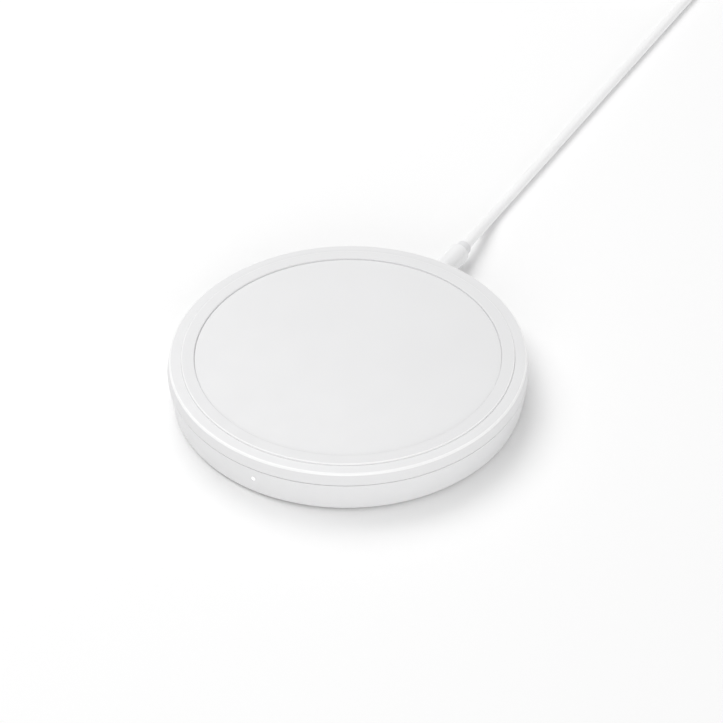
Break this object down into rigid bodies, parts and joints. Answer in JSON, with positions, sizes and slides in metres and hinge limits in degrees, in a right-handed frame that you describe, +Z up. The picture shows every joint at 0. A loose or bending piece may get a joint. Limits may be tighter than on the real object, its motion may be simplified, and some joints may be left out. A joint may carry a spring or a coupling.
{
  "type": "wireless charging pad",
  "caption": "Round white desk pad that charges a phone laid on its raised grip ring; a power lead with a barrel plug slides out of its rear socket.",
  "frame": {"origin": "under the middle of the round pad, on the surface that its foot ring stands on", "axes": "+Z up, +Y to the rear where the lead plugs in, -Y to the front where the status light is"},
  "size_m": [0.1179, 0.3282, 0.0133],
  "materials": {
    "white_shell": "satin moulded white ABS with a very fine texture",
    "silicone": "matt white silicone",
    "foot_rubber": "matt light grey rubber",
    "cord_white": "soft satin white TPE jacket and overmoulds",
    "tie_grey": "woven grey hook-and-loop strap",
    "light_diffuser": "translucent white acrylic",
    "black_plastic": "matt black moulded plastic",
    "holder_plastic": "natural nylon",
    "circuit_board": "green solder mask on glass-epoxy board",
    "ferrite": "sintered dark grey ferrite",
    "copper": null,
    "steel": "zinc-plated steel",
    "nickel": "nickel-plated metal",
    "gold": null,
    "capacitor_ceramic": "brown ceramic chip body"
  },
  "bodies": {
    "pad": {"bottom_shell": "white_shell", "top_shell": "white_shell", "grip_ring": "silicone", "foot_ring": "foot_rubber", "shell_screw_1": "steel", "shell_screw_2": "steel", "shell_screw_3": "steel", "shell_screw_4": "steel", "ballast_plate": "steel", "circuit_board": "circuit_board", "controller_chip": "black_plastic", "power_switch_1": "black_plastic", "power_switch_2": "black_plastic", "crystal": "nickel", "resonance_capacitor_1": "capacitor_ceramic", "resonance_capacitor_2": "capacitor_ceramic", "resonance_capacitor_3": "capacitor_ceramic", "resonance_capacitor_4": "capacitor_ceramic", "power_inductor": "ferrite", "input_capacitor": "nickel", "status_led": "light_diffuser", "coil_holder": "holder_plastic", "ferrite_plate": "ferrite", "transmitter_coil": "copper", "coil_thermistor": "black_plastic", "coil_end_1": "copper", "coil_end_2": "copper", "light_pipe": "light_diffuser", "socket_housing": "black_plastic", "socket_pin": "nickel", "socket_spring": "nickel"},
    "lead": {"plug_sleeve": "nickel", "plug_insulator": "black_plastic", "plug_contact": "nickel", "plug_boot": "cord_white", "strain_relief": "cord_white", "lead_cord": "cord_white", "lead_coil": "cord_white", "cord_tie": "tie_grey", "lead_tail": "cord_white", "usb_strain_relief": "cord_white", "usb_grip": "cord_white", "usb_shell": "nickel", "usb_tongue": "cord_white", "usb_contact_1": "gold", "usb_contact_2": "gold", "usb_contact_3": "gold", "usb_contact_4": "gold"}
  },
  "joints": [
    {"name": "plug_slide", "type": "slide", "parent": "pad", "child": "lead", "axis": [0, 1, 0], "range_m": [0, 0.012]}
  ]
}
